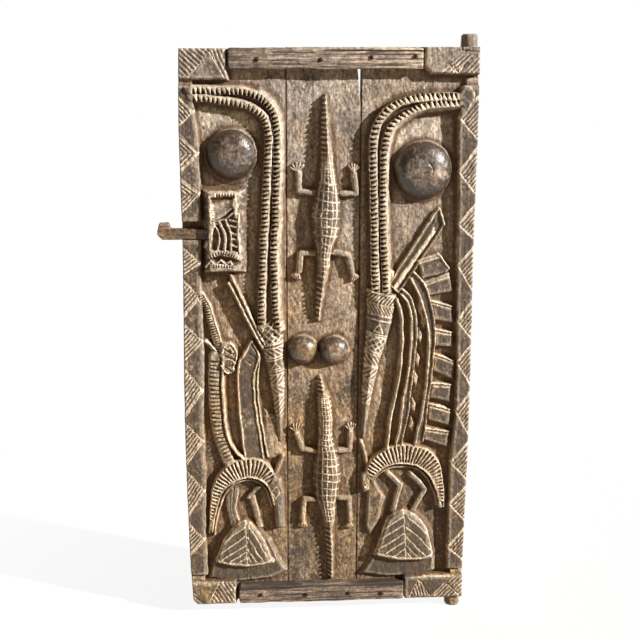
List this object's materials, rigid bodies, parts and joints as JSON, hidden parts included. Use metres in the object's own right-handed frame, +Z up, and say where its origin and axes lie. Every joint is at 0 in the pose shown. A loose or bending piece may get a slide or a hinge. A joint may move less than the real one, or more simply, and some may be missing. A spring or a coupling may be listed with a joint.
{
  "type": "carved granary door",
  "caption": "Carved three-plank wooden granary door that hangs on integral round pivots, with a sliding wooden bolt lock.",
  "frame": {"origin": "on the axis of the pivots, level with the planks' bottom ends, where the lower pivot starts", "axes": "+Z up along the pivot axis, -Y out of the carved face, +X to the right seen from the front, past the hinge side"},
  "size_m": [0.765, 0.0742, 1.45],
  "materials": {
    "carved_wood": "weathered, dusty, worn bright on the ridges",
    "batten_wood": "weathered, grey",
    "bolt_wood": "worn smooth by hands",
    "forged_iron": "dark rust"
  },
  "bodies": {
    "door": {"left_plank": "carved_wood", "middle_plank": "carved_wood", "right_plank": "carved_wood", "top_batten": "batten_wood", "bottom_batten": "batten_wood", "top_batten_nails": "forged_iron", "bottom_batten_nails": "forged_iron", "tumbler_plugs": "bolt_wood"},
    "bolt": {"lock_bolt": "bolt_wood"},
    "outer_tumbler_pin": {"outer_tumbler": "forged_iron"},
    "inner_tumbler_pin": {"inner_tumbler": "forged_iron"}
  },
  "joints": [
    {"name": "bolt_slide", "type": "slide", "parent": "door", "child": "bolt", "axis": [1, 0, 0], "range_m": [-0.008, 0.048]},
    {"name": "outer_tumbler_lift", "type": "slide", "parent": "door", "child": "outer_tumbler_pin", "axis": [0, 0, 1], "range_m": [0, 0.009]},
    {"name": "inner_tumbler_lift", "type": "slide", "parent": "door", "child": "inner_tumbler_pin", "axis": [0, 0, 1], "range_m": [0, 0.009]}
  ]
}
